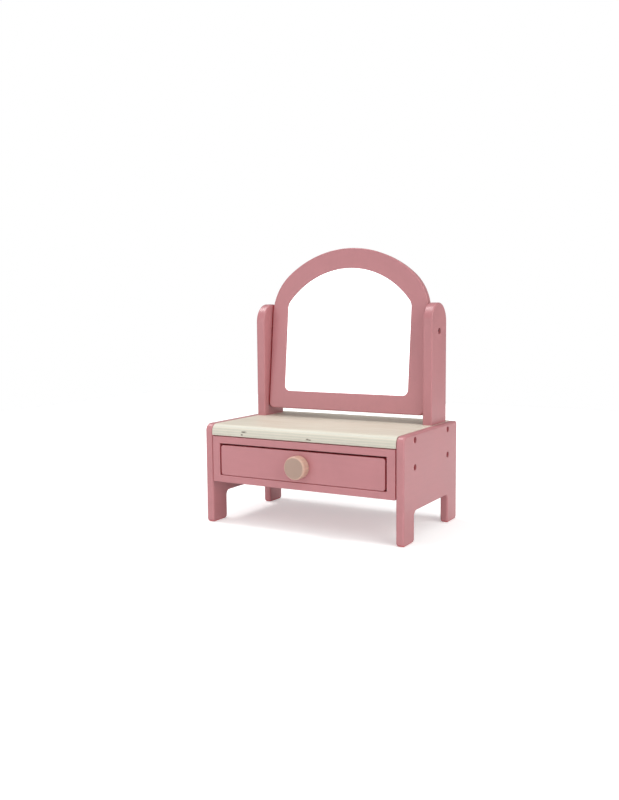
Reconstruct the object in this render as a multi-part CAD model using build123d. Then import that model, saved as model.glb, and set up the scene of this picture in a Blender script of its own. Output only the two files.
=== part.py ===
from build123d import *
import math
import os

# A child's table-top dressing table of painted wood: a low carcass with one drawer and a natural
# wood top, two round-topped posts, and an arched mirror that tilts between them.
# Millimetres. X runs from left to right, Y from front to back, Z up. The origin is on the floor
# under the middle of the whole object, knob included.

# --- Carcass -----------------------------------------------------------------------------------
width = 300.0               # over the two side panels
depth = 181.4               # front edge to back edge, without the knob
table_height = 138.4        # floor to the tabletop
side_board = 11.0
top_board = 15.6
leg_width = 33.6
leg_arch_height = 39.5
leg_arch_radius = 7.0       # inner corners between leg and panel
foot_radius = 5.0
nose_radius = 10.0          # front edge of the tabletop and of the side panels
nose_underside_radius = 2.0
back_corner_radius = 3.2
top_back_radius = 1.0
top_end_ease = 0.8
side_ease = 2.4             # softened edges of the side panels
panel_ease = 1.0            # softened edges of the other painted boards
joint_gap = 0.8             # shadow line between the surround and its neighbours

# --- Drawer bay --------------------------------------------------------------------------------
bay_base = 58.4             # underside of the surround, casing and bay floor
surround_board = 10.0
surround_stile = 12.5
surround_bottom_rail = 9.8
surround_top_rail = 10.5
back_board = 5.0
back_recess = 1.0           # the back panel sits in from the side panels' back edges

# --- Drawer ------------------------------------------------------------------------------------
drawer_side_gap = 2.3
drawer_top_gap = 2.3
drawer_bottom_gap = 0.5
drawer_front_board = 10.0
drawer_corner_radius = 3.6
drawer_side_board = 7.0
drawer_side_height = 36.0
drawer_slide_clearance = 0.15
drawer_end_clearance = 0.4
drawer_sheet = 3.0          # bottom sheet
drawer_groove = 3.0         # depth of the grooves that hold it, and its height above the edge
knob_diameter = 31.0
knob_projection = 13.4
knob_rim_radius = 2.8
knob_seat_ease = 0.6

# --- Posts and mirror --------------------------------------------------------------------------
post_board = 13.4
post_width = 52.0
post_top = 302.7
post_ease = 1.8
pivot_height = 264.3
pivot_set_back = 141.7      # from the front edge of the table to the pivot axis
mirror_tilt = 5.8           # degrees, top leaning back
mirror_board = 12.4
mirror_half_width = 124.0
mirror_bottom = -115.3      # heights in the mirror are measured from the pivot axis
arch_centre = -33.0
arch_radius = 150.0
shoulder_radius = 75.0
mirror_corner_radius = 8.0
opening_half_width = 98.8
opening_bottom = -89.5
opening_arch_radius = 121.4
opening_shoulder_radius = 16.0
opening_corner_radius = 8.0
mirror_ease = 1.9           # softened outer edges of the frame
opening_ease = 1.0          # softened front edge of the opening
lip = 1.6                   # wood left in front of the pane
pane_overlap = 4.0          # pane hidden behind the lip all round
pane_sheet = 3.0
backing_overlap = 8.5
backing_board = 3.5

# --- Fasteners ---------------------------------------------------------------------------------
slot_length = 0.6           # of the cross in a screw's head, as a share of the head's diameter
slot_width = 0.16
dome_round = 0.45           # of a round head, as a share of its height
shank_point = 0.25          # chamfer at a plain shank's end, as a share of its diameter
bay_fastener_low = 17.0     # lower fasteners of the casing sides, above their underside
bay_fastener_high = 13.0    # upper ones, below the tabletop
drawer_fastener_low = 13.0  # lower fasteners of the drawer sides, above their underside
drawer_fastener_high = 8.0  # upper ones, below their top
screw_head = 6.8
screw_shank = 3.5
screw_well = 8.4            # the wells that the heads sit in
screw_well_depth = 4.0
side_screw_length = 18.0
side_screw_low = 95.8       # height of the lower screws in the side panels
side_screw_spread = 56.0    # each way from the middle of the side panel
post_screw_length = 28.0
post_screw_spread = 14.0    # each way from the middle of the post
small_head = 5.0
small_shank = 2.5
back_panel_screw_length = 16.0
back_panel_screw_spread = 70.0
drawer_screw_length = 20.0
knob_screw_head = 7.0
knob_screw_head_height = 2.2
knob_screw_shank = 4.0
knob_screw_grip = 9.5       # length inside the knob
pin_head = 3.2
pin_shank = 1.6
pin_length = 14.0
pin_spread = 75.0           # each way from the middle of the drawer
backing_screw_head = 4.4
backing_screw_shank = 2.2
backing_screw_length = 6.5
backing_screw_low = 25.0    # lower side screws above the bottom row
backing_screw_high = 22.0   # upper side screws above the pivot axis
backing_screw_spread = 55.0
backing_screw_angles = (60.0, 90.0, 120.0)   # around the arch, in degrees
dowel_diameter = 5.0
dowel_chamfer = 0.4
surround_dowel_length = 16.0
floor_dowel_length = 20.0
drawer_dowel_diameter = 4.0
drawer_dowel_length = 16.0
pivot_shank = 4.0
pivot_running_clearance = 0.08
pivot_well = 9.0
pivot_well_depth = 5.0
pivot_head = 7.8
pivot_head_height = 2.4
pivot_grip = 14.0           # length of pivot screw inside the mirror frame
washer_diameter = 11.0
washer_end_clearance = 0.1

# --- Places worked out from the above ----------------------------------------------------------
front = -(depth + knob_projection) / 2 + knob_projection
back = front + depth
middle = (front + back) / 2
panel_inner = width / 2 - side_board
underside = table_height - top_board
opening_x = panel_inner - surround_stile
opening_z0 = bay_base + surround_bottom_rail
opening_z1 = underside - surround_top_rail
bay_front = front + surround_board
bay_back = back - back_recess - back_board
post_outer = panel_inner
post_inner = post_outer - post_board
pivot_y = front + pivot_set_back
side_screw_rows = (middle - side_screw_spread, middle + side_screw_spread)
side_screw_heights = (side_screw_low, underside + top_board / 2)
post_x = (post_inner + post_outer) / 2
post_screw_rows = (pivot_y - post_screw_spread, pivot_y + post_screw_spread)
casing_x = panel_inner - surround_stile / 2
bay_fastener_heights = (bay_base + bay_fastener_low, underside - bay_fastener_high)
past = 1.0                  # how far a cut runs past the board it cuts, and a search past an edge


def board(x, y, z, ease=0.0):
    """A plain board between two X, two Y and two Z values, all its edges softened."""
    centre = [(low + high) / 2 for low, high in (x, y, z)]
    solid = Pos(*centre) * Box(x[1] - x[0], y[1] - y[0], z[1] - z[0])
    return fillet(solid.edges(), ease) if ease else solid


def upright(outline, x0, thickness):
    """An outline drawn in Y and Z, as a board standing across X from x0."""
    return extrude(Plane.YZ.offset(x0) * outline, thickness)


def facing(outline, y0, y1):
    """An outline drawn in X and Z, as a board between y0 at the front and y1 at the back."""
    return extrude(Plane.XZ.offset(-y1) * outline, y1 - y0)


def countersunk_screw(head, shank, length, crossed=True):
    """A screw with a flat head at the origin and its point down -Z; uncrossed, the hole it fills."""
    cone = (head - shank) / 2
    outline = Polyline((0, 0), (head / 2, 0), (shank / 2, -cone), (shank / 2, shank - length),
                       (0, -length), close=True)
    screw = revolve(Plane.XZ * make_face(outline), Axis.Z)
    blade = Box(slot_length * head, slot_width * head, cone)
    return screw - blade - Rot(Z=90) * blade if crossed else screw


def round_head_screw(head, head_height, shank, length):
    """A screw with a domed, crossed head seated on z = 0 and a plain shank down -Z."""
    top = Pos(Z=head_height / 2) * Cylinder(head / 2, head_height)
    dome = fillet(top.edges().group_by(Axis.Z)[-1], dome_round * head_height)
    blade = Pos(Z=head_height) * Box(slot_length * head, slot_width * head, head_height)
    rod = Pos(Z=-length / 2) * Cylinder(shank / 2, length)
    pointed = chamfer(rod.edges().group_by(Axis.Z)[0], shank_point * shank)
    return dome + pointed - blade - Rot(Z=90) * blade


def dowel(diameter, length):
    """A dowel along Z, centred, its ends chamfered."""
    pin = Cylinder(diameter / 2, length)
    return chamfer(pin.edges().filter_by(GeomType.CIRCLE), dowel_chamfer)


def pointing(direction):
    """The turn that takes a screw drawn down -Z to one driven along the named direction."""
    turns = {"-X": Rot(Y=90), "-Y": Rot(X=-90), "+Z": Rot(X=180)}
    return turns[direction]


def both_sides(shape):
    """A shape on the right and its mirror image on the left."""
    return [shape, mirror(shape, about=Plane.YZ)]


def on_both_sides(shapes):
    """Several shapes on the right, each with its mirror image on the left."""
    return [side for shape in shapes for side in both_sides(shape)]


def save(name, shape):
    """Write one named piece, or one group of identical pieces."""
    if isinstance(shape, list):
        shape = Compound(children=[solid for piece in shape for solid in piece.solids()])
    export_step(shape, f"parts/{name}.step")


# --- Side panels: one board, cut away below into two legs -------------------------------------
def side_outline():
    """The side panel seen from the side, in Y and Z."""
    corners = [((front, 0), foot_radius),
               ((front + leg_width, 0), foot_radius),
               ((front + leg_width, leg_arch_height), leg_arch_radius),
               ((back - leg_width, leg_arch_height), leg_arch_radius),
               ((back - leg_width, 0), foot_radius),
               ((back, 0), foot_radius),
               ((back, table_height), back_corner_radius),
               ((front, table_height), nose_radius)]
    points = [point for point, radius in corners]
    radii = [radius for point, radius in corners]
    return make_face(FilletPolyline(*points, radius=radii, close=True))


def side_screws(crossed=True):
    """The right-hand screws, their heads sunk in wells in the panel's outer face."""
    screw = pointing("-X") * countersunk_screw(screw_head, screw_shank, side_screw_length, crossed)
    head_x = width / 2 - screw_well_depth
    return [Pos(head_x, y, z) * screw for y in side_screw_rows for z in side_screw_heights]


def right_side_panel():
    """The right-hand panel with its screw wells."""
    panel = upright(side_outline(), panel_inner, side_board)
    panel = fillet(panel.faces().filter_by(Axis.X).edges(), side_ease)
    well = Rot(Y=90) * Cylinder(screw_well / 2, 2 * screw_well_depth)
    wells = [Pos(width / 2, y, z) * well for y in side_screw_rows for z in side_screw_heights]
    return panel - wells - side_screws(crossed=False)


# --- Tabletop and posts ------------------------------------------------------------------------
def post_screws(crossed=True):
    """Right-hand screws, up through the tabletop into the foot of the post."""
    screw = pointing("+Z") * countersunk_screw(screw_head, screw_shank, post_screw_length, crossed)
    return [Pos(post_x, y, underside + screw_well_depth) * screw for y in post_screw_rows]


def tabletop():
    """The top board, its front edge rounded over, bored from below and from both ends."""
    corners = [((front, underside), nose_underside_radius),
               ((back, underside), top_back_radius),
               ((back, table_height), top_back_radius),
               ((front, table_height), nose_radius)]
    points = [point for point, radius in corners]
    radii = [radius for point, radius in corners]
    outline = make_face(FilletPolyline(*points, radius=radii, close=True))
    top = upright(outline, -panel_inner, 2 * panel_inner)
    top = fillet(top.faces().filter_by(Axis.X).edges(), top_end_ease)
    well = Cylinder(screw_well / 2, 2 * screw_well_depth)
    wells = [Pos(x, y, underside) * well for x in (-post_x, post_x) for y in post_screw_rows]
    return top - wells - on_both_sides(post_screws(crossed=False) + side_screws(crossed=False))


def right_post():
    """The right-hand mirror post: a straight board with a half-round top."""
    y0, y1 = pivot_y - post_width / 2, pivot_y + post_width / 2
    spring = post_top - post_width / 2
    sides = Polyline((y0, spring), (y0, table_height), (y1, table_height), (y1, spring))
    outline = make_face(sides + ThreePointArc((y1, spring), (pivot_y, post_top), (y0, spring)))
    post = upright(outline, post_inner, post_board)
    rims = [edge for edge in post.faces().filter_by(Axis.X).edges() if edge.center().Z > table_height + past]
    post = fillet(rims, post_ease)
    bore = Rot(Y=90) * Cylinder(pivot_shank / 2 + pivot_running_clearance, 3 * post_board)
    well = Rot(Y=90) * Cylinder(pivot_well / 2, 2 * pivot_well_depth)
    place = Pos(post_outer, pivot_y, pivot_height)
    return post - place * bore - place * well - post_screws(crossed=False)


# --- Drawer bay ----------------------------------------------------------------------------------
def surround_dowels():
    """Right-hand dowels from the surround back into the casing side."""
    pin = Rot(X=90) * dowel(dowel_diameter, surround_dowel_length)
    return [Pos(casing_x, bay_front, z) * pin for z in bay_fastener_heights]


def floor_dowels():
    """Right-hand dowels from the casing side into the end of the bay floor."""
    pin = Rot(Y=90) * dowel(dowel_diameter, floor_dowel_length)
    z = bay_base + surround_bottom_rail / 2
    return [Pos(opening_x, y, z) * pin for y in side_screw_rows]


def back_panel_screws(crossed=True):
    """Screws through the back panel into the casing sides and the bay floor."""
    screw = pointing("-Y") * countersunk_screw(small_head, small_shank, back_panel_screw_length, crossed)
    low_z = bay_base + surround_bottom_rail / 2
    places = [(x, z) for x in (-casing_x, casing_x) for z in bay_fastener_heights]
    places += [(x, low_z) for x in (-back_panel_screw_spread, 0.0, back_panel_screw_spread)]
    return [Pos(x, bay_back + back_board, z) * screw for x, z in places]


def drawer_surround():
    """The front frame around the drawer, one rectangle cut out of another."""
    edge_x, top = panel_inner - joint_gap, underside - joint_gap
    frame = board((-edge_x, edge_x), (front, bay_front), (bay_base, top), panel_ease)
    frame -= board((-opening_x, opening_x), (front - past, bay_front + past), (opening_z0, opening_z1))
    mouth = [edge for edge in frame.faces().sort_by(Axis.Y)[0].edges()
             if abs(edge.center().X) < opening_x + past
             and opening_z0 - past < edge.center().Z < opening_z1 + past]
    return fillet(mouth, panel_ease) - on_both_sides(surround_dowels())


def right_casing_side():
    """The inner side board of the drawer bay."""
    side = board((opening_x, panel_inner), (bay_front, bay_back), (bay_base, underside))
    screws = side_screws(crossed=False) + back_panel_screws(crossed=False)
    return side - surround_dowels() - floor_dowels() - screws


def bay_floor():
    """The board that the drawer slides on."""
    floor = board((-opening_x, opening_x), (bay_front, bay_back), (bay_base, opening_z0))
    return floor - on_both_sides(floor_dowels()) - back_panel_screws(crossed=False)


def back_panel():
    """The thin board that closes the back."""
    panel = board((-panel_inner, panel_inner), (bay_back, bay_back + back_board), (bay_base, underside))
    return panel - back_panel_screws(crossed=False)


# --- Drawer --------------------------------------------------------------------------------------
drawer_x = opening_x - drawer_side_gap
drawer_inner_x = drawer_x - drawer_side_board
drawer_z0 = opening_z0 + drawer_slide_clearance
drawer_z1 = drawer_z0 + drawer_side_height
drawer_inside_front = front + drawer_front_board
drawer_end = bay_back - drawer_end_clearance
sheet_z0 = drawer_z0 + drawer_groove
sheet_z1 = sheet_z0 + drawer_sheet
front_z0 = opening_z0 + drawer_bottom_gap
front_z1 = opening_z1 - drawer_top_gap
knob_z = (front_z0 + front_z1) / 2
drawer_fastener_heights = (drawer_z0 + drawer_fastener_low, drawer_z1 - drawer_fastener_high)


def drawer_bottom():
    """The bottom sheet, let into grooves in the front and the sides and passing under the back."""
    x = drawer_inner_x + drawer_groove
    sheet = board((-x, x), (drawer_inside_front - drawer_groove, drawer_end), (sheet_z0, sheet_z1))
    return sheet - drawer_bottom_pins(crossed=False)


def drawer_front_dowels():
    """Right-hand dowels from the drawer front back into the drawer side."""
    pin = Rot(X=90) * dowel(drawer_dowel_diameter, drawer_dowel_length)
    x = (drawer_x + drawer_inner_x) / 2
    return [Pos(x, drawer_inside_front, z) * pin for z in drawer_fastener_heights]


def drawer_back_screws(crossed=True):
    """Right-hand screws through the drawer side into the end of the drawer back."""
    screw = pointing("-X") * countersunk_screw(small_head, small_shank, drawer_screw_length, crossed)
    y = drawer_end - drawer_side_board / 2
    return [Pos(drawer_x, y, z) * screw for z in drawer_fastener_heights]


def drawer_bottom_pins(crossed=True):
    """Pins up through the bottom sheet into the drawer back."""
    pin = pointing("+Z") * countersunk_screw(pin_head, pin_shank, pin_length, crossed)
    y = drawer_end - drawer_side_board / 2
    return [Pos(x, y, sheet_z0) * pin for x in (-pin_spread, 0.0, pin_spread)]


def drawer_front():
    """The drawer front, its corners rounded and its edges softened, bored for the knob screw."""
    face = Pos(0, knob_z) * RectangleRounded(2 * drawer_x, front_z1 - front_z0, drawer_corner_radius)
    panel = facing(face, front, drawer_inside_front)
    panel = fillet(panel.faces().filter_by(Axis.Y).edges(), panel_ease)
    return panel - drawer_bottom() - on_both_sides(drawer_front_dowels()) - knob_screw()


def right_drawer_side():
    """The right-hand drawer side with its groove."""
    side = board((drawer_inner_x, drawer_x), (drawer_inside_front, drawer_end), (drawer_z0, drawer_z1))
    upper = [edge for edge in side.edges().filter_by(Axis.Y) if edge.center().Z > drawer_z1 - past]
    side = fillet(upper, panel_ease)
    return side - drawer_bottom() - drawer_front_dowels() - drawer_back_screws(crossed=False)


def drawer_back():
    """The drawer back, standing on the bottom sheet between the sides."""
    panel = board((-drawer_inner_x, drawer_inner_x), (drawer_end - drawer_side_board, drawer_end),
                  (sheet_z1, drawer_z1))
    screws = on_both_sides(drawer_back_screws(crossed=False))
    return panel - screws - drawer_bottom_pins(crossed=False)


def knob_screw():
    """The screw from inside the drawer, through the front into the knob."""
    screw = round_head_screw(knob_screw_head, knob_screw_head_height, knob_screw_shank,
                             drawer_front_board + knob_screw_grip)
    return Pos(0, drawer_inside_front, knob_z) * Rot(X=-90) * screw


def drawer_knob():
    """A short cylinder of natural wood, its outer rim rounded over."""
    knob = Rot(X=90) * Cylinder(knob_diameter / 2, knob_projection)
    rims = knob.edges().filter_by(GeomType.CIRCLE).sort_by(Axis.Y)
    knob = fillet(rims[0], knob_rim_radius)
    knob = fillet(knob.edges().filter_by(GeomType.CIRCLE).sort_by(Axis.Y)[-1], knob_seat_ease)
    return Pos(0, front - knob_projection / 2, knob_z) * knob - knob_screw()


# --- Mirror: drawn upright about its pivot axis, then tilted back and set between the posts -----
mirror_front = -mirror_board / 2
pane_front = mirror_front + lip
backing_front = pane_front + pane_sheet
set_mirror = Pos(0, pivot_y, pivot_height) * Rot(X=-mirror_tilt)


def arch_outline(half_width, bottom, radius, shoulder, corner):
    """A flat-bottomed shape with straight sides, closed above by an arc about the arch centre."""
    spring = arch_centre + math.sqrt(radius**2 - half_width**2)
    sides = Polyline((-half_width, spring), (-half_width, bottom), (half_width, bottom), (half_width, spring))
    arc = ThreePointArc((half_width, spring), (0, arch_centre + radius), (-half_width, spring))
    face = make_face(sides + arc)
    face = fillet(face.vertices().group_by(Axis.Y)[0], corner)
    return fillet(face.vertices().group_by(Axis.Y)[-1], shoulder)


def opening_outline(overlap):
    """The frame's opening, grown all round by an overlap."""
    return arch_outline(opening_half_width + overlap, opening_bottom - overlap, opening_arch_radius + overlap,
                        opening_shoulder_radius + overlap, opening_corner_radius + overlap)


def backing_screws(crossed=True):
    """Screws around the edge of the backing board, forward into the frame."""
    screw = pointing("-Y") * countersunk_screw(backing_screw_head, backing_screw_shank,
                                               backing_screw_length, crossed)
    inset = (pane_overlap + backing_overlap) / 2
    side_x, low_z = opening_half_width + inset, opening_bottom - inset
    places = [(x, z) for x in (-side_x, side_x) for z in (low_z + backing_screw_low, backing_screw_high)]
    places += [(x, low_z) for x in (-backing_screw_spread, backing_screw_spread)]
    for angle in backing_screw_angles:
        turn = math.radians(angle)
        reach = opening_arch_radius + inset
        places.append((reach * math.cos(turn), arch_centre + reach * math.sin(turn)))
    return [Pos(x, backing_front + backing_board, z) * screw for x, z in places]


def pivot_screw():
    """The right-hand shoulder screw: head in the post's well, shank into the mirror frame's edge."""
    seat = post_outer - pivot_well_depth + washer_end_clearance
    length = seat - (mirror_half_width - pivot_grip)
    return Pos(seat) * Rot(Y=90) * round_head_screw(pivot_head, pivot_head_height, pivot_shank, length)


def pivot_washer():
    """The right-hand spacer washer, on the pivot screw between the frame and the post."""
    thickness = post_inner - washer_end_clearance - mirror_half_width
    ring = Cylinder(washer_diameter / 2, thickness) - Cylinder(pivot_shank / 2, thickness)
    return Pos(mirror_half_width + thickness / 2) * Rot(Y=90) * ring


def mirror_frame():
    """The arched frame, rebated at the back for the pane and again for the backing board."""
    outline = arch_outline(mirror_half_width, mirror_bottom, arch_radius, shoulder_radius, mirror_corner_radius)
    frame = facing(outline, mirror_front, -mirror_front)
    frame = fillet(frame.faces().filter_by(Axis.Y).edges(), mirror_ease)
    frame -= facing(opening_outline(0.0), mirror_front - past, past - mirror_front)
    frame = fillet(frame.faces().sort_by(Axis.Y)[0].inner_wires()[0].edges(), opening_ease)
    frame -= facing(opening_outline(pane_overlap), pane_front, past - mirror_front)
    frame -= facing(opening_outline(backing_overlap), backing_front, past - mirror_front)
    return frame - backing_screws(crossed=False) - both_sides(pivot_screw())


def mirror_pane():
    """The mirror sheet behind the frame's lip."""
    return facing(opening_outline(pane_overlap), pane_front, backing_front)


def mirror_backing():
    """The thin board behind the pane."""
    plate = facing(opening_outline(backing_overlap), backing_front, backing_front + backing_board)
    return plate - backing_screws(crossed=False)


os.makedirs("parts", exist_ok=True)

for maker, name in ((right_side_panel, "side_panel"), (right_post, "post"),
                    (right_casing_side, "casing_side"), (right_drawer_side, "drawer_side")):
    right, left = both_sides(maker())
    save(f"right_{name}", right)
    save(f"left_{name}", left)

for maker in (tabletop, drawer_surround, bay_floor, back_panel, back_panel_screws,
              drawer_front, drawer_back, drawer_bottom, drawer_bottom_pins, drawer_knob, knob_screw):
    save(maker.__name__, maker())

for maker, name in ((side_screws, "side_panel_screws"), (post_screws, "post_screws"),
                    (surround_dowels, "surround_dowels"), (floor_dowels, "floor_dowels"),
                    (drawer_front_dowels, "drawer_front_dowels"), (drawer_back_screws, "drawer_back_screws")):
    save(name, on_both_sides(maker()))

for maker in (mirror_frame, mirror_pane, mirror_backing):
    save(maker.__name__, set_mirror * maker())
save("backing_screws", [set_mirror * screw for screw in backing_screws()])
save("pivot_washers", [set_mirror * washer for washer in both_sides(pivot_washer())])
for side, screw in zip(("right", "left"), both_sides(pivot_screw())):
    save(f"{side}_pivot_screw", set_mirror * screw)
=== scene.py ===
import math

import bpy
import numpy as np
from mathutils import Matrix, Vector


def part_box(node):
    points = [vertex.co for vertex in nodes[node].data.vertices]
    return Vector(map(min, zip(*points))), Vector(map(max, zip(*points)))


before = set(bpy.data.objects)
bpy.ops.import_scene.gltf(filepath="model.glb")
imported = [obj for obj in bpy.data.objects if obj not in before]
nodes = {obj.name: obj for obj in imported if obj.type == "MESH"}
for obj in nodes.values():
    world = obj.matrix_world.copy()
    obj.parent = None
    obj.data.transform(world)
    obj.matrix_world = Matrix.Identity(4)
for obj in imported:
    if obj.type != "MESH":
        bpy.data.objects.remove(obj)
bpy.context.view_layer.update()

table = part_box("tabletop")
TABLE_FRONT = table[0][1]
TABLE_UNDERSIDE = table[0][2]
TABLE_THICKNESS = table[1][2] - table[0][2]

# --- The view: angles, then lengths in metres, then the lens and its sensor in millimetres -------
VIEW_AZIMUTH = math.radians(29.98)
VIEW_ELEVATION = math.radians(5.84)
VIEW_ROLL = math.radians(-0.49)
VIEW_TARGET = Vector((-0.0273, -0.0068, 0.1694))
VIEW_DISTANCE = 1.2435
VIEW_NEAR = 0.05
VIEW_FAR = 30.0
VIEW_LENS = 40.22
VIEW_SENSOR = 36.0

# --- Light ---------------------------------------------------------------------------------------
WHITE = (1.0, 1.0, 1.0)
FILL_COLOUR = (0.97, 1.05, 1.0)
WALL_LIGHT = 0.30
SEEN_WALL_LIGHT = 1.0
FLOOR_GLOW = 0.36
# Distant lamps: name, direction towards it, width in degrees, strength, colour.
SUNS = (
    ("top", (0.25, -0.24, 0.94), 80.0, 1.03, WHITE),
    ("glint", (-0.50, 0.0, 0.87), 22.0, 1.30, WHITE),
    ("fill", (0.92, -0.22, 0.33), 60.0, 1.50, FILL_COLOUR),
    ("front", (0.05, -0.96, 0.28), 40.0, 0.33, WHITE),
)
# The bright screen that the mirror faces: its place, what it looks at, its side in metres and the
# brightness of its face.
SCREEN_PLACE = (-0.98, -1.70, 0.43)
SCREEN_TARGET = (0.0, 0.05, 0.26)
SCREEN_SIDE = 1.15
SCREEN_LIGHT = 1.62

# --- Finishes, as linear colours -----------------------------------------------------------------
PINK = (0.478, 0.192, 0.208)
# Paler paint for the softened edges: thinner paint and a painted highlight.
PINK_THIN_AND_HIGHLIT = (0.580, 0.310, 0.305)
# Painted shade: the deep red laid over the paint in gaps and grooves, where light hardly reaches.
PINK_PAINTED_SHADE = (0.700, 0.040, 0.050)
PALE_WOOD = (0.690, 0.635, 0.540)
PALE_WOOD_LATE = (0.600, 0.512, 0.400)
PALE_WOOD_PORE = (0.330, 0.250, 0.160)
PLY_EDGE = (0.535, 0.520, 0.445)
PLY_GLUE = (0.420, 0.360, 0.250)
PLY_VOID = (0.075, 0.050, 0.035)
# Painted shade, laid over the top's wood in the gaps around it.
PLY_PAINTED_SHADE = (0.200, 0.045, 0.040)
BEECH = (0.590, 0.365, 0.285)
BEECH_LATE = (0.480, 0.325, 0.260)
PLYWOOD = (0.700, 0.545, 0.360)
PLYWOOD_LATE = (0.540, 0.380, 0.220)
HARDBOARD = (0.235, 0.140, 0.078)
HARDBOARD_DARK = (0.150, 0.082, 0.042)
# The washers' dark red: partly the fibre's own colour and partly a painted shade, matched to the
# shaded gap they sit in.
WASHER_RED_AND_GAP_SHADE = (0.220, 0.032, 0.034)
WASHER_DARK_AND_GAP_SHADE = (0.130, 0.018, 0.020)
PLATED_STEEL = (0.420, 0.410, 0.390)
# Dark steel for the screws in deep wells: partly the steel's own tone and partly a painted shade of
# the wells.
DARK_STEEL_AND_WELL_SHADE = (0.100, 0.085, 0.080)
SILVER = (0.955, 0.955, 0.960)
SILVER_FILMED = (0.925, 0.925, 0.930)
FLOOR_DIM = (0.860, 0.860, 0.860)
FLOOR_BRIGHT = (0.900, 0.900, 0.900)

# --- Ranges that values are eased from and into --------------------------------------------------
NOISE_CORE = (0.3, 0.7)
NOISE_WIDE = (0.2, 0.8)
RISING = (0.0, 1.0)
FALLING = (1.0, 0.0)


# --- Shader helpers ------------------------------------------------------------------------------
def feed(tree, made, inputs):
    """Sets a node's inputs by name or number: a socket is linked, anything else is a constant."""
    for name, value in inputs.items():
        if isinstance(value, bpy.types.NodeSocket):
            tree.links.new(value, made.inputs[name])
        else:
            made.inputs[name].default_value = value


def shader_node(tree, kind, inputs=None, **settings):
    """Adds one node with its settings and inputs."""
    made = tree.nodes.new(kind)
    for name, value in settings.items():
        setattr(made, name, value)
    feed(tree, made, inputs or {})
    return made


def math_node(tree, operation, *values):
    """One Math node's output."""
    made = shader_node(tree, "ShaderNodeMath", dict(enumerate(values)), operation=operation)
    return made.outputs[0]


def vector_node(tree, operation, first, second):
    """One Vector Math node's outputs."""
    made = shader_node(tree, "ShaderNodeVectorMath", {0: first, 1: second}, operation=operation)
    return made.outputs


def ramp(tree, value, span, result=RISING):
    """A value eased from the range of a span into the range of a result."""
    inputs = {0: value, 1: span[0], 2: span[1], 3: result[0], 4: result[1]}
    made = shader_node(tree, "ShaderNodeMapRange", inputs, interpolation_type="SMOOTHSTEP")
    return made.outputs[0]


def swayed(tree, value, amount, base):
    """A base moved by an amount times how far a value lies above or below a half."""
    centred = math_node(tree, "SUBTRACT", value, 0.5)
    return math_node(tree, "MULTIPLY_ADD", centred, amount, base)


def weighted_sum(tree, *terms):
    """The sum of values, each times its weight."""
    total = 0.0
    for value, weight in terms:
        total = math_node(tree, "MULTIPLY_ADD", value, weight, total)
    return total


def sum_of_squares(tree, first, second):
    """The first value squared plus the second value squared."""
    squares = [math_node(tree, "MULTIPLY", value, value) for value in (first, second)]
    return math_node(tree, "ADD", *squares)


def rgba(colour):
    """A colour with full alpha, or a socket as it is."""
    return colour if isinstance(colour, bpy.types.NodeSocket) else (*colour, 1.0)


def mix_colour(tree, factor, first, second, blend_type="MIX"):
    """Two colours mixed by a factor; sockets 6 and 7 of a Mix node take the colours."""
    inputs = {0: factor, 6: rgba(first), 7: rgba(second)}
    made = shader_node(tree, "ShaderNodeMix", inputs, data_type="RGBA", blend_type=blend_type)
    return made.outputs[2]


def mix_value(tree, factor, first, second):
    """Two values mixed by a factor; sockets 2 and 3 of a Mix node take the values."""
    return shader_node(tree, "ShaderNodeMix", {0: factor, 2: first, 3: second}).outputs[0]


def laid_over(tree, under, over, mask, strength):
    """One colour laid over another; the upper one's share is the mask times a strength."""
    return mix_colour(tree, math_node(tree, "MULTIPLY", mask, strength), under, over)


def shade(colour, factor):
    """A colour made darker or lighter by one factor, and held to 1."""
    return tuple(min(1.0, factor * part) for part in colour)


def spread(middle, half_width):
    """The range of a half-width to each side of a middle."""
    return middle - half_width, middle + half_width


def stretched(tree, vector, cycles):
    """Coordinates scaled by one number along X and another across it, in cycles per metre."""
    along, across = cycles
    return vector_node(tree, "MULTIPLY", vector, (along, across, across))[0]


def noise(tree, vector, scale=1.0, detail=3.0, roughness=0.5, distortion=0.0):
    """A noise texture's value, about a half."""
    inputs = {"Vector": vector, "Scale": scale, "Detail": detail, "Roughness": roughness,
              "Distortion": distortion}
    return shader_node(tree, "ShaderNodeTexNoise", inputs).outputs[0]


def bump(tree, height, distance, strength):
    """A Bump node's normal."""
    inputs = {"Height": height, "Distance": distance, "Strength": strength}
    return shader_node(tree, "ShaderNodeBump", inputs).outputs[0]


def object_place(tree):
    """The coordinates of the piece's own object."""
    return shader_node(tree, "ShaderNodeTexCoord").outputs["Object"]


def new_group(name, inputs, outputs):
    """An empty shader node group with named sockets: its tree, the sockets that bring what it is
    given, and the node that takes what it gives."""
    tree = bpy.data.node_groups.new(name, "ShaderNodeTree")
    for in_out, sockets in (("INPUT", inputs), ("OUTPUT", outputs)):
        for socket, kind in sockets.items():
            tree.interface.new_socket(socket, in_out=in_out, socket_type="NodeSocket" + kind)
    return tree, tree.nodes.new("NodeGroupInput").outputs, tree.nodes.new("NodeGroupOutput")


def group_node(tree, group, inputs):
    """The outputs of a group placed in a material, with its own inputs."""
    return shader_node(tree, "ShaderNodeGroup", inputs, node_tree=group).outputs


# --- Effects that several finishes use -----------------------------------------------------------
# Wood grain: how far the pith line lies below and beside the origin, in metres; cycles per metre
# along the grain and across it; how many ring spacings a full swing of the slow noise would push
# by, at a waviness of 1; the parts of one spacing in which a ring rises and falls; and the part of a
# noise that is cut out as pores.
PITH_BELOW = 0.055
PITH_ASIDE = 0.017
DRIFT_CYCLES = (3.0, 22.0)
DRIFT_PUSH = 6.0
RING_RISE = (0.0, 0.86)
RING_FALL = (0.88, 1.0)
FIBRE_CYCLES = (26.0, 1100.0)
PORE_CYCLES = (150.0, 2600.0)
PORE_SPAN = (0.66, 0.76)


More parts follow.
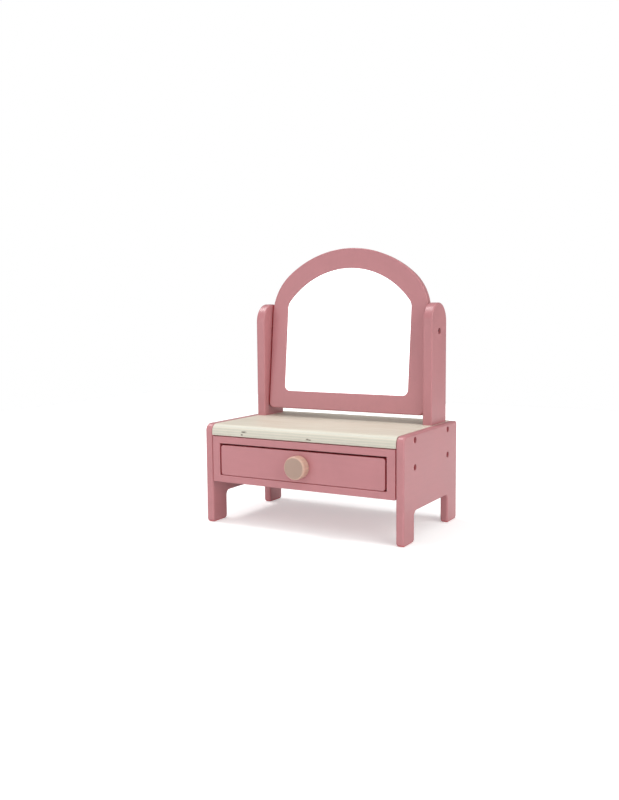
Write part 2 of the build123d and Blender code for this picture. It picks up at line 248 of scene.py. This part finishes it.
def make_wood_grain():
    """Long wood grain along X.

    Rings are the distance from a pith line that lies beside the board, counted in ring spacings and
    pushed about by a slow noise; within each spacing the value rises slowly and falls quickly.
    Fibres are a noise drawn out about forty times along X. Pores are short dashes cut out of a
    second drawn-out noise."""
    tree, given, out = new_group(
        "wood_grain",
        {"Vector": "Vector", "Ring Spacing": "Float", "Waviness": "Float"},
        {"Rings": "Float", "Fibres": "Float", "Pores": "Float"})
    vector = given["Vector"]
    y, z = shader_node(tree, "ShaderNodeSeparateXYZ", {0: vector}).outputs[1:]
    below = math_node(tree, "ADD", z, PITH_BELOW)
    aside = math_node(tree, "ADD", y, PITH_ASIDE)
    distance = math_node(tree, "SQRT", sum_of_squares(tree, below, aside))
    turns = math_node(tree, "DIVIDE", distance, given["Ring Spacing"])
    drift = noise(tree, stretched(tree, vector, DRIFT_CYCLES), detail=2.0)
    push = math_node(tree, "MULTIPLY", given["Waviness"], DRIFT_PUSH)
    saw = math_node(tree, "FRACT", swayed(tree, drift, push, turns))
    rise = ramp(tree, saw, RING_RISE)
    fall = ramp(tree, saw, RING_FALL, FALLING)
    fibres = noise(tree, stretched(tree, vector, FIBRE_CYCLES), detail=4.0, roughness=0.6)
    dashes = noise(tree, stretched(tree, vector, PORE_CYCLES), detail=1.0)
    feed(tree, out, {"Rings": math_node(tree, "MULTIPLY", rise, fall),
                     "Fibres": fibres,
                     "Pores": ramp(tree, dashes, PORE_SPAN)})
    return tree


# Soft edges: the radius in metres, the number of rays that feel for it, the cycles per metre of the
# mask's uneven patches and how uneven they make it, and one less the dot product where the mask
# begins and where it is full.
EDGE_RADIUS = 0.0016
EDGE_RAYS = 4
EDGE_PATCH_CYCLES = 210.0
EDGE_UNEVENNESS = 0.08
EDGE_SPAN = (0.02, 0.16)


def make_soft_edge():
    """A mask that is 1 on the turned-over edges of a board and 0 on its flats: one less the dot
    product of the true normal with the normal rounded over by a small radius, made uneven by a
    noise."""
    tree, given, out = new_group("soft_edge", {"Vector": "Vector"}, {"Edge": "Float"})
    rounded = shader_node(tree, "ShaderNodeBevel", {"Radius": EDGE_RADIUS}, samples=EDGE_RAYS)
    true = shader_node(tree, "ShaderNodeNewGeometry").outputs["True Normal"]
    agreement = vector_node(tree, "DOT_PRODUCT", rounded.outputs[0], true)["Value"]
    turned = math_node(tree, "SUBTRACT", 1.0, agreement)
    patchy = noise(tree, given["Vector"], scale=EDGE_PATCH_CYCLES, detail=3.0)
    lean = swayed(tree, patchy, EDGE_UNEVENNESS, turned)
    feed(tree, out, {"Edge": ramp(tree, lean, EDGE_SPAN)})
    return tree


# The size of the dot product at which a face begins to count as cut across, and counts fully.
CUT_SPAN = (0.90, 0.98)


def make_cut_across():
    """A mask that is 1 where the surface is cut square across an axis of the piece, and 0 where it
    runs along that axis: the size of the dot product of the piece's own normal with the axis."""
    tree, given, out = new_group("cut_across", {"Axis": "Vector"}, {"Cut": "Float"})
    normal = shader_node(tree, "ShaderNodeTexCoord").outputs["Normal"]
    along = vector_node(tree, "DOT_PRODUCT", normal, given["Axis"])["Value"]
    size = math_node(tree, "ABSOLUTE", along)
    feed(tree, out, {"Cut": ramp(tree, size, CUT_SPAN)})
    return tree


# Gaps: how far the rays that feel for their walls reach, in metres, how many rays there are, and the
# openness at which the mask is full and at which it ends.
CREVICE_REACH = 0.009
CREVICE_RAYS = 6
CREVICE_SPAN = (0.03, 0.42)


def make_crevice():
    """A mask that is 1 deep in a gap or a groove, where little light comes, for painted shade: it
    falls as the share of directions that are free within a short reach grows."""
    tree, _, out = new_group("crevice", {}, {"Crevice": "Float"})
    around = shader_node(tree, "ShaderNodeAmbientOcclusion", {"Distance": CREVICE_REACH},
                         samples=CREVICE_RAYS)
    feed(tree, out, {"Crevice": ramp(tree, around.outputs["AO"], CREVICE_SPAN, FALLING)})
    return tree


# Handling: cycles per metre of the smears, of the rubs along and across, and of the patches that
# the rubs come in, and the parts of those two noises that count.
SMEAR_CYCLES = 17.0
RUB_CYCLES = (9.0, 900.0)
RUB_SPAN = (0.70, 0.74)
RUB_PATCH_CYCLES = 34.0
RUB_PATCH_SPAN = (0.55, 0.66)


def make_handling():
    """Faint cloudiness of a handled surface. Smears are one broad noise. Rubs are hairlines cut out
    of a drawn-out noise, kept only within patches of a slower one."""
    tree, given, out = new_group(
        "handling", {"Vector": "Vector"}, {"Smear": "Float", "Rubs": "Float"})
    vector = given["Vector"]
    smear = noise(tree, vector, scale=SMEAR_CYCLES, detail=4.0, roughness=0.62, distortion=0.6)
    lines = noise(tree, stretched(tree, vector, RUB_CYCLES), detail=1.0, distortion=0.15)
    patches = noise(tree, vector, scale=RUB_PATCH_CYCLES, detail=1.0)
    rubs = math_node(tree, "MULTIPLY", ramp(tree, lines, RUB_SPAN),
                     ramp(tree, patches, RUB_PATCH_SPAN))
    feed(tree, out, {"Smear": smear, "Rubs": rubs})
    return tree


WOOD_GRAIN = make_wood_grain()
SOFT_EDGE = make_soft_edge()
CUT_ACROSS = make_cut_across()
CREVICE = make_crevice()
HANDLING = make_handling()

# Turns that bring a board's own grain direction to X, and that direction as an axis.
GRAIN_TURN = {"X": (0.0, 0.0, 0.0), "Y": (0.0, 0.0, -math.pi / 2), "Z": (0.0, math.pi / 2, 0.0)}
GRAIN_AXIS = {"X": (1.0, 0.0, 0.0), "Y": (0.0, 1.0, 0.0), "Z": (0.0, 0.0, 1.0)}
NO_SHIFT = (0.0, 0.0, 0.0)


def grain_vector(tree, along, shift=NO_SHIFT):
    """Object coordinates turned so that the grain runs along X."""
    inputs = {"Vector": object_place(tree), "Location": shift, "Rotation": GRAIN_TURN[along]}
    return shader_node(tree, "ShaderNodeMapping", inputs).outputs[0]


def grain_node(tree, vector, spacing, waviness):
    """The wood grain group's outputs, by the spacing of its rings in metres and their waviness."""
    inputs = {"Vector": vector, "Ring Spacing": spacing, "Waviness": waviness}
    return group_node(tree, WOOD_GRAIN, inputs)


def late_share(tree, grain, fibre_weight, ring_weight):
    """How much of the late growth's colour shows, from the fibres and the rings, never below 0."""
    rings = math_node(tree, "MULTIPLY", grain["Rings"], ring_weight)
    return math_node(tree, "MAXIMUM", swayed(tree, grain["Fibres"], fibre_weight, rings), 0.0)


def new_material(name):
    """An empty material with its Principled shader wired to the output."""
    material = bpy.data.materials.new(name)
    material.use_nodes = True
    tree = material.node_tree
    tree.nodes.clear()
    shader = tree.nodes.new("ShaderNodeBsdfPrincipled")
    output = tree.nodes.new("ShaderNodeOutputMaterial")
    tree.links.new(shader.outputs[0], output.inputs[0])
    return material, tree, shader


# --- Materials -----------------------------------------------------------------------------------
# BUMP, WOBBLE and SPACING are in metres and CYCLES in cycles per metre. A SPAN is the part of a mask
# or noise that is eased. The others are shares, weights and roughnesses.
PAINT_RING_SPACING = 0.0065
PAINT_WAVINESS = 1.1
PAINT_SMEAR_SPAN = (0.25, 0.75)
PAINT_TONE = (0.965, 1.035)
PAINT_RING_SHOW = 0.012
PAINT_FIBRE_SHOW = 0.018
# The share of the paler edge colour: thinner paint and a painted highlight.
PAINT_THIN_AND_HIGHLIT_COVER = 0.22
# The share of painted shade laid over the paint in the gaps.
PAINT_GAP_SHADE_COVER = 0.92
PAINT_ROUGHNESS = (0.30, 0.37)
PAINT_RUB_ROUGHNESS = -0.02
PAINT_DULL_SPAN = (0.0, 0.7)
PAINT_SPECULAR = (0.5, 0.06)
PEEL_CYCLES = 620.0
PEEL_HEIGHT = 0.25
PAINT_RING_HEIGHT = 0.25
PAINT_FIBRE_HEIGHT = 0.5
PAINT_BUMP = 0.000015


def pink_paint(name, along):
    """Satin paint sprayed on sanded wood: the grain barely shows, the softened edges are paler, for
    thinner paint and a painted highlight, and the gaps hold a painted shade of deep red and duller
    reflection."""
    material, tree, shader = new_material(name)
    vector = grain_vector(tree, along)
    grain = grain_node(tree, vector, PAINT_RING_SPACING, PAINT_WAVINESS)
    edge = group_node(tree, SOFT_EDGE, {"Vector": vector})["Edge"]
    crevice = group_node(tree, CREVICE, {})["Crevice"]
    handling = group_node(tree, HANDLING, {"Vector": vector})
    cloudy = ramp(tree, handling["Smear"], PAINT_SMEAR_SPAN, PAINT_TONE)
    ringed = swayed(tree, grain["Rings"], PAINT_RING_SHOW, cloudy)
    tone = swayed(tree, grain["Fibres"], PAINT_FIBRE_SHOW, ringed)
    grey = shader_node(tree, "ShaderNodeCombineXYZ", {0: tone, 1: tone, 2: tone}).outputs[0]
    # Paler edges: thinner paint and a painted highlight.
    thin_and_highlit = laid_over(tree, PINK, PINK_THIN_AND_HIGHLIT, edge, PAINT_THIN_AND_HIGHLIT_COVER)
    # Painted shade: deep red laid over the paint in the gaps by the crevice mask; the reflection is
    # turned down there too.
    gap_shaded_paint = laid_over(tree, thin_and_highlit, PINK_PAINTED_SHADE, crevice, PAINT_GAP_SHADE_COVER)
    sheen = ramp(tree, handling["Smear"], NOISE_WIDE, PAINT_ROUGHNESS)
    peel = noise(tree, vector, scale=PEEL_CYCLES, detail=1.0)
    relief = weighted_sum(tree, (grain["Fibres"], PAINT_FIBRE_HEIGHT),
                          (grain["Rings"], PAINT_RING_HEIGHT), (peel, PEEL_HEIGHT))
    feed(tree, shader, {
        "Base Color": mix_colour(tree, 1.0, gap_shaded_paint, grey, "MULTIPLY"),
        "Roughness": math_node(tree, "MULTIPLY_ADD", handling["Rubs"], PAINT_RUB_ROUGHNESS, sheen),
        "Specular IOR Level": ramp(tree, crevice, PAINT_DULL_SPAN, PAINT_SPECULAR),
        "Normal": bump(tree, relief, PAINT_BUMP, strength=0.8)})
    return material


WOOD_WAVINESS = 1.6
WOOD_FIBRE_SHARE = 0.9
WOOD_RING_SHARE = 0.55
END_GRAIN_COVER, END_GRAIN_SHADE = 0.85, 0.76
PORE_COVER, PORE_SHADE = 0.30, 0.45
# Paler edges: partly wear and partly a painted highlight.
WORN_AND_HIGHLIT_COVER, WORN_AND_HIGHLIT_TONE = 0.18, 1.12
# The share and tone of the painted shade in the gaps.
PAINTED_SHADE_COVER, PAINTED_SHADE_TONE = 0.60, 0.35
WOOD_ROUGHNESS_SPREAD = 0.06
WOOD_RELIEF = 0.8
WOOD_BUMP = 0.00008


def plain_wood(name, along, early, late, spacing, roughness, shift=NO_SHIFT):
    """Clear-finished wood: early and late growth, fibres and pores, darker where the grain ends, a
    painted shade in the gaps, and paler on its edges, for wear and a painted highlight."""
    material, tree, shader = new_material(name)
    vector = grain_vector(tree, along, shift)
    grain = grain_node(tree, vector, spacing, WOOD_WAVINESS)
    cut = group_node(tree, CUT_ACROSS, {"Axis": GRAIN_AXIS[along]})["Cut"]
    edge = group_node(tree, SOFT_EDGE, {"Vector": vector})["Edge"]
    crevice = group_node(tree, CREVICE, {})["Crevice"]
    handling = group_node(tree, HANDLING, {"Vector": vector})
    share = late_share(tree, grain, WOOD_FIBRE_SHARE, WOOD_RING_SHARE)
    colour = mix_colour(tree, share, early, late)
    layers = ((shade(late, END_GRAIN_SHADE), cut, END_GRAIN_COVER),
              (shade(late, PORE_SHADE), grain["Pores"], PORE_COVER),
              # paler edges: partly wear and partly a painted highlight
              (shade(early, WORN_AND_HIGHLIT_TONE), edge, WORN_AND_HIGHLIT_COVER),
              # painted shade in the gaps
              (shade(late, PAINTED_SHADE_TONE), crevice, PAINTED_SHADE_COVER))
    for over, mask, strength in layers:
        colour = laid_over(tree, colour, over, mask, strength)
    sheen = ramp(tree, handling["Smear"], NOISE_WIDE, spread(roughness, WOOD_ROUGHNESS_SPREAD))
    relief = weighted_sum(tree, (grain["Fibres"], WOOD_RELIEF), (grain["Pores"], -WOOD_RELIEF))
    feed(tree, shader, {"Base Color": colour,
                        "Roughness": sheen,
                        "Normal": bump(tree, relief, WOOD_BUMP, strength=0.8)})
    return material


# The top's layers: how many, how quickly their lines waver and by how much, in cycles per metre and
# metres, and how far to each side of a glue line its tint fades out, in layers.
PLY_LAYERS = 9.0
PLY_WOBBLE_CYCLES = (9.0, 60.0)
PLY_WOBBLE = 0.0007
PLY_GLUE_SPAN = (0.0, 0.09)
PLY_END_CYCLES = (1500.0, 900.0)
PLY_STRAND_CYCLES = (30.0, 1400.0)
PLY_END_SHARE = 0.45
PLY_TEXTURE_SHARE = 0.6
PLY_GLUE_COVER = 0.30
TOP_SHIFT = (0.05, 0.0, 0.0)
TOP_RING_SPACING = 0.0060
TOP_WAVINESS = 1.5
TOP_FIBRE_SHARE = 0.7
TOP_RING_SHARE = 0.42
TOP_PORE_COVER = 0.18
# The share of painted shade in the gaps around the top.
TOP_PAINTED_SHADE_COVER = 0.75
TOP_ROUGHNESS = (0.38, 0.48)
TOP_VOID_HEIGHT = -3.0
TOP_GLUE_HEIGHT = -0.5
TOP_BUMP = 0.00005

# Open voids in the top's front edge, in metres: X, Z and half the length of each, then half the
# height of all of them and how far behind the front they may show.
VOIDS = (
    (-0.0858, 0.1302, 0.0056),
    (-0.0893, 0.1263, 0.0022),
    (0.0134, 0.1266, 0.0026),
    (0.0170, 0.1260, 0.0022),
)
VOID_HALF_HEIGHT = 0.0012
VOID_DEPTH = 0.012
VOID_RIM = (0.35, 1.0)
VOID_COVER = 0.88
SPLINTER_CYCLES = (330.0, 1100.0)
SPLINTER_SPAN = (0.36, 0.48)


def void_mask(tree, place):
    """A mask that is up to VOID_COVER in the voids: soft-rimmed ovals, broken up by the dashes of a
    drawn-out noise and joined by their largest value, and only near the front edge."""
    x, y, z = shader_node(tree, "ShaderNodeSeparateXYZ", {0: place}).outputs
    splinters = noise(tree, stretched(tree, place, SPLINTER_CYCLES), detail=2.0)
    dashes = ramp(tree, splinters, SPLINTER_SPAN)
    voids = 0.0
    for void_x, void_z, half_length in VOIDS:
        across = math_node(tree, "SUBTRACT", x, void_x)
        up = math_node(tree, "SUBTRACT", z, void_z)
        reach = sum_of_squares(tree, math_node(tree, "MULTIPLY", across, 1.0 / half_length),
                               math_node(tree, "MULTIPLY", up, 1.0 / VOID_HALF_HEIGHT))
        spot = math_node(tree, "MULTIPLY", ramp(tree, reach, VOID_RIM, FALLING), dashes)
        voids = math_node(tree, "MAXIMUM", voids, spot)
    near = math_node(tree, "LESS_THAN", y, TABLE_FRONT + VOID_DEPTH)
    return math_node(tree, "MULTIPLY", math_node(tree, "MULTIPLY", voids, near), VOID_COVER)


def layered_top():
    """Clear-lacquered plywood: long grain on its two faces, and on its edges the layers, every other
    one seen end on, with a thin glue line between layers and a few open voids in the front edge.

    The layer is the height above the underside over the thickness of one layer; the glue is how
    near that number is to a whole one, and the cross layers are those with an odd whole part."""
    material, tree, shader = new_material("layered_top")
    place = object_place(tree)
    vector = grain_vector(tree, "X", TOP_SHIFT)
    grain = grain_node(tree, vector, TOP_RING_SPACING, TOP_WAVINESS)
    share = late_share(tree, grain, TOP_FIBRE_SHARE, TOP_RING_SHARE)
    face = mix_colour(tree, share, PALE_WOOD, PALE_WOOD_LATE)

    height = shader_node(tree, "ShaderNodeSeparateXYZ", {0: place}).outputs[2]
    wobble = noise(tree, stretched(tree, place, PLY_WOBBLE_CYCLES), detail=2.0)
    above = math_node(tree, "SUBTRACT", height, TABLE_UNDERSIDE)
    level = swayed(tree, wobble, PLY_WOBBLE, above)
    layer = math_node(tree, "DIVIDE", level, TABLE_THICKNESS / PLY_LAYERS)
    glue = ramp(tree, math_node(tree, "PINGPONG", layer, 0.5), PLY_GLUE_SPAN, FALLING)
    cross = math_node(tree, "GREATER_THAN", math_node(tree, "MODULO", layer, 2.0), 1.0)
    ends = noise(tree, stretched(tree, place, PLY_END_CYCLES), detail=2.0)
    strands = noise(tree, stretched(tree, place, PLY_STRAND_CYCLES), detail=3.0)
    texture = mix_value(tree, cross, strands, ends)
    edge_share = weighted_sum(tree, (texture, PLY_TEXTURE_SHARE), (cross, PLY_END_SHARE))
    edge_wood = mix_colour(tree, edge_share, PALE_WOOD, PLY_EDGE)
    lined = laid_over(tree, edge_wood, PLY_GLUE, glue, PLY_GLUE_COVER)

    flat = group_node(tree, CUT_ACROSS, {"Axis": GRAIN_AXIS["Z"]})["Cut"]
    wood = mix_colour(tree, flat, lined, face)
    pored = laid_over(tree, wood, PALE_WOOD_PORE, grain["Pores"], TOP_PORE_COVER)
    # Painted shade: a dark red-brown laid over the top's wood in the gaps around it.
    crevice = group_node(tree, CREVICE, {})["Crevice"]
    gap_shaded_top = laid_over(tree, pored, PLY_PAINTED_SHADE, crevice, TOP_PAINTED_SHADE_COVER)
    voids = void_mask(tree, place)
    smear = group_node(tree, HANDLING, {"Vector": vector})["Smear"]
    relief = weighted_sum(tree, (texture, 1.0), (glue, TOP_GLUE_HEIGHT), (voids, TOP_VOID_HEIGHT))
    feed(tree, shader, {"Base Color": mix_colour(tree, voids, gap_shaded_top, PLY_VOID),
                        "Roughness": ramp(tree, smear, NOISE_WIDE, TOP_ROUGHNESS),
                        "Normal": bump(tree, relief, TOP_BUMP, strength=0.8)})
    return material


STEEL_GRAIN_CYCLES = 1500.0
STEEL_PATCH_CYCLES = 420.0
STEEL_PATCH_SHADE = 0.72
STEEL_ROUGHNESS_SPREAD = 0.08
STEEL_BUMP = 0.00002


def metal(name, base, roughness):
    """Screw steel: a fine grain, and plating of uneven tone."""
    material, tree, shader = new_material(name)
    vector = grain_vector(tree, "X")
    marks = noise(tree, vector, scale=STEEL_GRAIN_CYCLES, detail=2.0)
    patches = noise(tree, vector, scale=STEEL_PATCH_CYCLES, detail=3.0)
    plating = ramp(tree, patches, NOISE_CORE)
    feed(tree, shader, {
        "Base Color": mix_colour(tree, plating, shade(base, STEEL_PATCH_SHADE), base),
        "Metallic": 1.0,
        "Roughness": ramp(tree, marks, NOISE_CORE, spread(roughness, STEEL_ROUGHNESS_SPREAD)),
        "Normal": bump(tree, marks, STEEL_BUMP, strength=0.5)})
    return material


FILM_SPAN = (0.45, 0.85)
CLEAR_ROUGHNESS = 0.015
FILM_ROUGHNESS = 0.035


def mirror_sheet():
    """Silvered sheet, with the faint film that a hand leaves on it."""
    material, tree, shader = new_material("mirror_sheet")
    smear = group_node(tree, HANDLING, {"Vector": grain_vector(tree, "X")})["Smear"]
    film = ramp(tree, smear, FILM_SPAN)
    feed(tree, shader, {
        "Base Color": mix_colour(tree, film, SILVER, SILVER_FILMED),
        "Metallic": 1.0,
        "Roughness": math_node(tree, "MULTIPLY_ADD", film, FILM_ROUGHNESS, CLEAR_ROUGHNESS)})
    return material


HARDBOARD_CYCLES = 850.0
WASHER_CYCLES = 1400.0
FIBRE_DRIFT = 0.6
FIBRE_WORN_COVER, FIBRE_WORN_SHADE = 0.3, 1.4
FIBRE_ROUGHNESS = (0.50, 0.66)
FIBRE_BUMP = 0.00004


def pressed_fibre(name, dark, light, cycles):
    """Pressed fibre: flecks of two tones, drifting slowly from lighter to darker, paler at its
    edges."""
    material, tree, shader = new_material(name)
    vector = grain_vector(tree, "X")
    fleck = noise(tree, vector, scale=cycles, detail=4.0, roughness=0.7)
    edge = group_node(tree, SOFT_EDGE, {"Vector": vector})["Edge"]
    smear = group_node(tree, HANDLING, {"Vector": vector})["Smear"]
    tone = swayed(tree, smear, FIBRE_DRIFT, ramp(tree, fleck, NOISE_CORE))
    colour = mix_colour(tree, math_node(tree, "MAXIMUM", tone, 0.0), dark, light)
    worn = laid_over(tree, colour, shade(light, FIBRE_WORN_SHADE), edge, FIBRE_WORN_COVER)
    feed(tree, shader, {"Base Color": worn,
                        "Roughness": ramp(tree, fleck, NOISE_CORE, FIBRE_ROUGHNESS),
                        "Normal": bump(tree, fleck, FIBRE_BUMP, strength=0.6)})
    return material


def dress(material, *names):
    """Gives CAD nodes a material in place of their plain one."""
    for name in names:
        slots = nodes[name].data.materials
        slots.clear()
        slots.append(material)


# --- Stage ---------------------------------------------------------------------------------------
FLOOR_CELLS = 24
FLOOR_HALF_WIDTH = 1.5
FLOOR_CLOUD_CYCLES = 1.7
FLOOR_ROUGHNESS = (0.72, 0.80)
FLOOR_SPECULAR = 0.2


def link(thing_data, name):
    """A new object with its data, linked to the scene."""
    made = bpy.data.objects.new(name, thing_data)
    bpy.context.scene.collection.objects.link(made)
    return made


def floor_material():
    """A pale, dull floor of barely uneven tone, that glows only towards the camera."""
    material, tree, shader = new_material("pale_floor")
    cloud = noise(tree, object_place(tree), scale=FLOOR_CLOUD_CYCLES, detail=2.0)
    seen = shader_node(tree, "ShaderNodeLightPath").outputs["Is Camera Ray"]
    feed(tree, shader, {
        "Base Color": mix_colour(tree, cloud, FLOOR_DIM, FLOOR_BRIGHT),
        "Roughness": ramp(tree, cloud, NOISE_CORE, FLOOR_ROUGHNESS),
        "Specular IOR Level": FLOOR_SPECULAR,
        "Emission Color": rgba(WHITE),
        "Emission Strength": math_node(tree, "MULTIPLY", seen, FLOOR_GLOW)})
    return material


def make_floor():
    """A square floor, a grid of two parameters held at z = 0. Each face takes the corner at its own
    row and column and the three that follow it round."""
    steps = np.linspace(-FLOOR_HALF_WIDTH, FLOOR_HALF_WIDTH, FLOOR_CELLS + 1)
    u, v = np.meshgrid(steps, steps, indexing="ij")
    points = np.stack([u, v, np.zeros_like(u)], -1).reshape(-1, 3)
    row, column = np.meshgrid(np.arange(FLOOR_CELLS), np.arange(FLOOR_CELLS), indexing="ij")
    stride = FLOOR_CELLS + 1
    corner = (row * stride + column).ravel()
    faces = np.stack([corner, corner + stride, corner + stride + 1, corner + 1], -1)
    mesh = bpy.data.meshes.new("floor")
    mesh.from_pydata(points.tolist(), [], faces.tolist())
    mesh.materials.append(floor_material())
    floor = link(mesh, "floor")


def aim(thing, place, target, roll=0.0):
    """Puts a lamp or the camera in place, looking at a target, turned about its own sight line."""
    turn = (Vector(target) - Vector(place)).to_track_quat("-Z", "Y").to_matrix().to_4x4()
    thing.matrix_world = Matrix.Translation(place) @ turn @ Matrix.Rotation(roll, 4, "Z")


def softbox(name, place, target, side, radiance):
    """One square softbox that the camera doesn't see; its power is pi times its area times the
    brightness of its face."""
    lamp = bpy.data.lights.new(name, "AREA")
    lamp.size = side
    lamp.energy = radiance * math.pi * side * side
    made = link(lamp, name)
    made.visible_camera = False
    aim(made, place, target)


def broad_sun(name, towards, width, strength, colour):
    """One wide, soft, distant lamp, by the direction towards it and its width in degrees."""
    lamp = bpy.data.lights.new(name, "SUN")
    lamp.angle = math.radians(width)
    lamp.energy = strength
    lamp.color = colour
    aim(link(lamp, name), towards, (0.0, 0.0, 0.0))


def make_walls():
    """White walls, bright to the camera and dim as a source of light."""
    world = bpy.data.worlds.new("studio")
    world.use_nodes = True
    tree = world.node_tree
    tree.nodes.clear()
    seen, lighting = [shader_node(tree, "ShaderNodeBackground", {0: rgba(WHITE), 1: brightness})
                      for brightness in (SEEN_WALL_LIGHT, WALL_LIGHT)]
    path = shader_node(tree, "ShaderNodeLightPath").outputs["Is Camera Ray"]
    both = shader_node(tree, "ShaderNodeMixShader",
                       {0: path, 1: lighting.outputs[0], 2: seen.outputs[0]})
    shader_node(tree, "ShaderNodeOutputWorld", {0: both.outputs[0]})
    bpy.context.scene.world = world


def make_light():
    """A white studio: dim walls, broad light from above, a narrower lamp high on the left for the
    glints, a fill from the right, a weak lamp in front, and a bright screen in front on the left,
    which the mirror faces."""
    make_walls()
    for sun in SUNS:
        broad_sun(*sun)
    softbox("screen", SCREEN_PLACE, SCREEN_TARGET, SCREEN_SIDE, SCREEN_LIGHT)


def make_camera():
    """The camera, by azimuth, elevation and distance from its target."""
    lens = bpy.data.cameras.new("camera")
    lens.sensor_width = VIEW_SENSOR
    lens.lens = VIEW_LENS
    lens.clip_start = VIEW_NEAR
    lens.clip_end = VIEW_FAR
    camera = link(lens, "camera")
    flat = math.cos(VIEW_ELEVATION)
    back = Vector((flat * math.sin(VIEW_AZIMUTH),
                   -flat * math.cos(VIEW_AZIMUTH),
                   math.sin(VIEW_ELEVATION)))
    aim(camera, VIEW_TARGET + VIEW_DISTANCE * back, VIEW_TARGET, VIEW_ROLL)
    bpy.context.scene.camera = camera
    bpy.context.scene.view_settings.view_transform = "Standard"


make_camera()
make_light()
make_floor()

# --- What each piece is finished in --------------------------------------------------------------
paint_x = pink_paint("pink_paint_across", "X")
paint_y = pink_paint("pink_paint_deep", "Y")
paint_z = pink_paint("pink_paint_upright", "Z")
beech = plain_wood("beech", "Y", BEECH, BEECH_LATE, spacing=0.0042, roughness=0.34,
                   shift=(0.02, 0.01, 0.0))
plywood_x, plywood_y = [plain_wood(name, along, PLYWOOD, PLYWOOD_LATE, spacing=0.0060, roughness=0.62)
                        for name, along in (("bare_plywood_across", "X"), ("bare_plywood_deep", "Y"))]
hardboard = pressed_fibre("hardboard", HARDBOARD_DARK, HARDBOARD, HARDBOARD_CYCLES)
# Washers of dark red fibre, their colour partly a painted shade of the gap they sit in.
washer_fibre = pressed_fibre("washer_fibre", WASHER_DARK_AND_GAP_SHADE, WASHER_RED_AND_GAP_SHADE, WASHER_CYCLES)
plated_steel = metal("plated_steel", PLATED_STEEL, roughness=0.34)
# Dark screws: partly their own tone and partly a painted shade of the wells they sit in.
dark_steel = metal("dark_steel", DARK_STEEL_AND_WELL_SHADE, roughness=0.32)

dress(paint_y, "left_side_panel", "right_side_panel", "left_casing_side", "right_casing_side")
dress(paint_x, "drawer_surround", "drawer_front", "bay_floor", "back_panel")
dress(paint_z, "left_post", "right_post", "mirror_frame")
dress(layered_top(), "tabletop")
dress(beech, "drawer_knob")
dress(plywood_x, "drawer_back", "drawer_bottom", "surround_dowels", "floor_dowels",
      "drawer_front_dowels")
dress(plywood_y, "left_drawer_side", "right_drawer_side")
dress(hardboard, "mirror_backing")
dress(mirror_sheet(), "mirror_pane")
dress(washer_fibre, "pivot_washers")
dress(plated_steel, "post_screws", "back_panel_screws", "backing_screws", "drawer_back_screws",
      "drawer_bottom_pins", "knob_screw")
dress(dark_steel, "left_pivot_screw", "right_pivot_screw", "side_panel_screws")
